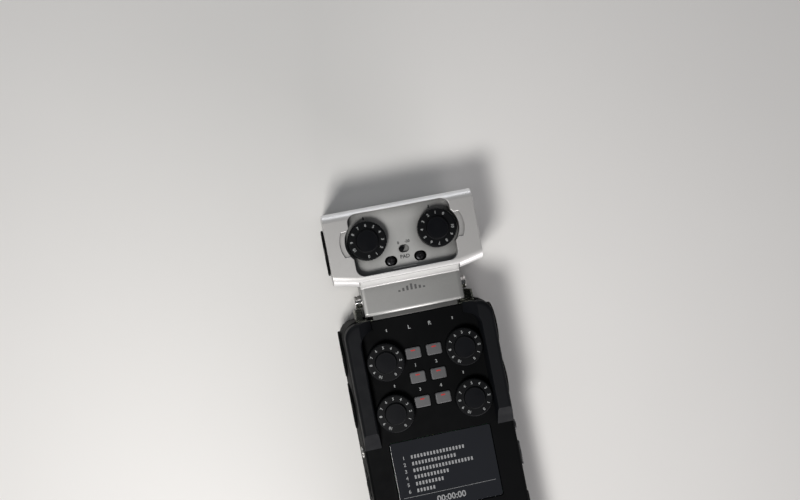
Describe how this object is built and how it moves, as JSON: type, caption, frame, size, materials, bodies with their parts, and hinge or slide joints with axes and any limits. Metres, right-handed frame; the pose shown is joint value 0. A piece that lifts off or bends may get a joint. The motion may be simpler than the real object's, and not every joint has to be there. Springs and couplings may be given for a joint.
{
  "type": "portable field recorder",
  "caption": "Portable field recorder lying on its back, black case with raised side guards, and a silver two-input capsule with numbered gain knobs docked at its top end.",
  "frame": {"origin": "middle of the bounding box at the underside, the plane of the recorder's back", "axes": "+Y from the battery end to the capsule, +Z out of the face with the controls, +X to the right as the face is read"},
  "size_m": [0.0788, 0.206, 0.0438],
  "materials": {
    "silver_paint": "satin silver paint",
    "black_plastic": "fine matt grain",
    "black_rubber": "soft-touch matt",
    "plated_steel": "bright nickel plating",
    "brass": "machined",
    "circuit_board": "green solder mask",
    "screen_glass": "gloss",
    "grey_keycap": "fine matt grain",
    "record_red": "gloss",
    "cell_wrap": "printed sleeve, left plain"
  },
  "bodies": {
    "recorder": {"back_case": "black_plastic", "front_case": "black_plastic", "dock_socket": "black_plastic", "speaker": "black_plastic", "phones_socket": "black_plastic", "memory_card": "black_plastic", "input_jack_1": "black_plastic", "input_jack_2": "black_plastic", "input_jack_3": "black_plastic", "input_jack_4": "black_plastic", "side_guard_left": "black_rubber", "side_guard_right": "black_rubber", "dock_plate": "plated_steel", "usb_socket": "plated_steel", "tripod_bush": "brass", "main_board": "circuit_board", "display_window": "screen_glass", "lcd_module": "grey_keycap", "battery_cell_1": "cell_wrap", "battery_cell_2": "cell_wrap", "battery_cell_3": "cell_wrap", "battery_cell_4": "cell_wrap"},
    "capsule": {"capsule_housing": "silver_paint", "capsule_base": "black_plastic", "capsule_panel": "silver_paint", "panel_screw_left": "plated_steel", "panel_screw_right": "plated_steel", "capsule_board": "circuit_board", "capsule_neck": "silver_paint", "capsule_plug": "black_plastic", "input_jack_5": "black_plastic", "input_jack_6": "black_plastic", "gain_pot_5": "plated_steel", "gain_pot_6": "plated_steel"},
    "gain_knob_5": {"gain_knob_5": "black_plastic"},
    "gain_knob_6": {"gain_knob_6": "black_plastic"},
    "gain_knob_1": {"gain_knob_1": "black_plastic"},
    "gain_knob_2": {"gain_knob_2": "black_plastic"},
    "gain_knob_3": {"gain_knob_3": "black_plastic"},
    "gain_knob_4": {"gain_knob_4": "black_plastic"},
    "pad_slider": {"capsule_pad_slider": "black_plastic"},
    "release_button_left": {"release_button_left": "plated_steel"},
    "release_button_right": {"release_button_right": "plated_steel"},
    "track_button_left": {"track_button_left": "grey_keycap"},
    "track_button_right": {"track_button_right": "grey_keycap"},
    "track_button_1": {"track_button_1": "grey_keycap"},
    "track_button_2": {"track_button_2": "grey_keycap"},
    "track_button_3": {"track_button_3": "grey_keycap"},
    "track_button_4": {"track_button_4": "grey_keycap"},
    "stop_button": {"stop_button": "grey_keycap"},
    "play_button": {"play_button": "grey_keycap"},
    "record_button": {"record_button": "record_red"},
    "rewind_button": {"rewind_button": "grey_keycap"},
    "forward_button": {"forward_button": "grey_keycap"},
    "volume_dial": {"volume_dial": "black_plastic"},
    "power_slider": {"power_slider": "grey_keycap"},
    "menu_button": {"menu_button": "grey_keycap"},
    "scroll_rocker": {"scroll_rocker": "grey_keycap"},
    "card_cover": {"card_cover": "black_rubber"},
    "battery_door": {"battery_door": "black_plastic"}
  },
  "joints": [
    {"name": "capsule_release", "type": "slide", "parent": "recorder", "child": "capsule", "axis": [0, 1, 0], "range_m": [0, 0.05]},
    {"name": "gain_5_turn", "type": "hinge", "parent": "capsule", "child": "gain_knob_5", "pos_m": [-0.0173, 0.0867, 0.038], "axis": [0, 0, 1], "range_deg": [-120, 180]},
    {"name": "gain_6_turn", "type": "hinge", "parent": "capsule", "child": "gain_knob_6", "pos_m": [0.0173, 0.0867, 0.038], "axis": [0, 0, 1], "range_deg": [-258, 42]},
    {"name": "gain_1_turn", "type": "hinge", "parent": "recorder", "child": "gain_knob_1", "pos_m": [-0.0195, 0.0274, 0.036], "axis": [0, 0, 1], "range_deg": [-150, 150]},
    {"name": "gain_2_turn", "type": "hinge", "parent": "recorder", "child": "gain_knob_2", "pos_m": [-0.0195, 0.0024, 0.036], "axis": [0, 0, 1], "range_deg": [-150, 150]},
    {"name": "gain_3_turn", "type": "hinge", "parent": "recorder", "child": "gain_knob_3", "pos_m": [0.0195, 0.0274, 0.036], "axis": [0, 0, 1], "range_deg": [-150, 150]},
    {"name": "gain_4_turn", "type": "hinge", "parent": "recorder", "child": "gain_knob_4", "pos_m": [0.0195, 0.0024, 0.036], "axis": [0, 0, 1], "range_deg": [-150, 150]},
    {"name": "pad_slide", "type": "slide", "parent": "capsule", "child": "pad_slider", "axis": [1, 0, 0], "range_m": [0, 0.0024]},
    {"name": "release_left_push", "type": "slide", "parent": "capsule", "child": "release_button_left", "axis": [1, 0, 0], "range_m": [0, 0.0015], "stiffness_N_per_m": 300},
    {"name": "release_right_push", "type": "slide", "parent": "capsule", "child": "release_button_right", "axis": [-1, 0, 0], "range_m": [0, 0.0015], "stiffness_N_per_m": 300},
    {"name": "track_left_push", "type": "slide", "parent": "recorder", "child": "track_button_left", "axis": [0, 0, -1], "range_m": [0, 0.0006], "stiffness_N_per_m": 300},
    {"name": "track_right_push", "type": "slide", "parent": "recorder", "child": "track_button_right", "axis": [0, 0, -1], "range_m": [0, 0.0006], "stiffness_N_per_m": 300},
    {"name": "track_1_push", "type": "slide", "parent": "recorder", "child": "track_button_1", "axis": [0, 0, -1], "range_m": [0, 0.0006], "stiffness_N_per_m": 300},
    {"name": "track_2_push", "type": "slide", "parent": "recorder", "child": "track_button_2", "axis": [0, 0, -1], "range_m": [0, 0.0006], "stiffness_N_per_m": 300},
    {"name": "track_3_push", "type": "slide", "parent": "recorder", "child": "track_button_3", "axis": [0, 0, -1], "range_m": [0, 0.0006], "stiffness_N_per_m": 300},
    {"name": "track_4_push", "type": "slide", "parent": "recorder", "child": "track_button_4", "axis": [0, 0, -1], "range_m": [0, 0.0006], "stiffness_N_per_m": 300},
    {"name": "stop_push", "type": "slide", "parent": "recorder", "child": "stop_button", "axis": [0, 0, -1], "range_m": [0, 0.0006], "stiffness_N_per_m": 300},
    {"name": "play_push", "type": "slide", "parent": "recorder", "child": "play_button", "axis": [0, 0, -1], "range_m": [0, 0.0006], "stiffness_N_per_m": 300},
    {"name": "record_push", "type": "slide", "parent": "recorder", "child": "record_button", "axis": [0, 0, -1], "range_m": [0, 0.0006], "stiffness_N_per_m": 300},
    {"name": "rewind_push", "type": "slide", "parent": "recorder", "child": "rewind_button", "axis": [0, 0, -1], "range_m": [0, 0.0006], "stiffness_N_per_m": 300},
    {"name": "forward_push", "type": "slide", "parent": "recorder", "child": "forward_button", "axis": [0, 0, -1], "range_m": [0, 0.0006], "stiffness_N_per_m": 300},
    {"name": "volume_turn", "type": "hinge", "parent": "recorder", "child": "volume_dial", "pos_m": [-0.0314, -0.031, 0.026], "axis": [0, 0, 1], "range_deg": [-150, 150]},
    {"name": "power_slide", "type": "slide", "parent": "recorder", "child": "power_slider", "axis": [0, 1, 0], "range_m": [-0.0027, 0.0027]},
    {"name": "menu_push", "type": "slide", "parent": "recorder", "child": "menu_button", "axis": [-1, 0, 0], "range_m": [0, 0.0006], "stiffness_N_per_m": 300},
    {"name": "scroll_rock", "type": "hinge", "parent": "recorder", "child": "scroll_rocker", "pos_m": [0.0352, -0.031, 0.026], "axis": [0, 0, 1], "range_deg": [-3.5, 3.5], "stiffness_Nm_per_rad": 0.01},
    {"name": "card_cover_swing", "type": "hinge", "parent": "recorder", "child": "card_cover", "pos_m": [0.0381, -0.063, 0.029], "axis": [0, -1, 0], "range_deg": [0, 95]},
    {"name": "battery_door_slide", "type": "slide", "parent": "recorder", "child": "battery_door", "axis": [0, -1, 0], "range_m": [0, 0.065]}
  ]
}
